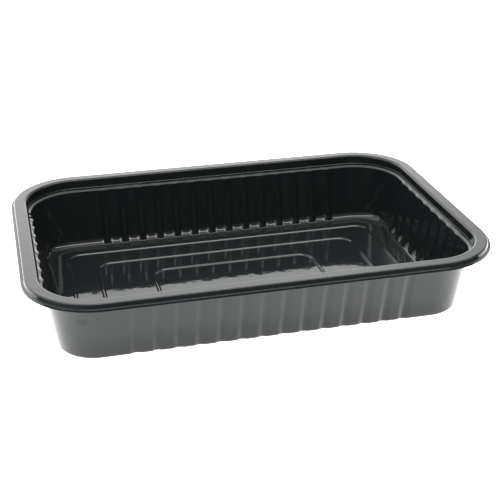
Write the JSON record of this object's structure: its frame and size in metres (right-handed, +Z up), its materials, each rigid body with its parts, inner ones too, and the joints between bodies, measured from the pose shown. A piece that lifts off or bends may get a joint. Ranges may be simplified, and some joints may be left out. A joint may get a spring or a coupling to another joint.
{
  "type": "ovenable food tray",
  "caption": "Shallow rectangular thermoformed meal tray with rounded corners, a flat sealing flange with a lip, ribbed sloping walls and a floor with nested stiffening ridges.",
  "frame": {"origin": "middle of the underside, on the plane the tray rests on", "axes": "+X along the long side, +Y across the width towards the back, +Z up; the front is at -Y"},
  "size_m": [0.235, 0.1642, 0.0378],
  "materials": {
    "tray": "smooth glossy black formed sheet"
  },
  "bodies": {
    "root": {"tray": "tray"}
  },
  "joints": []
}
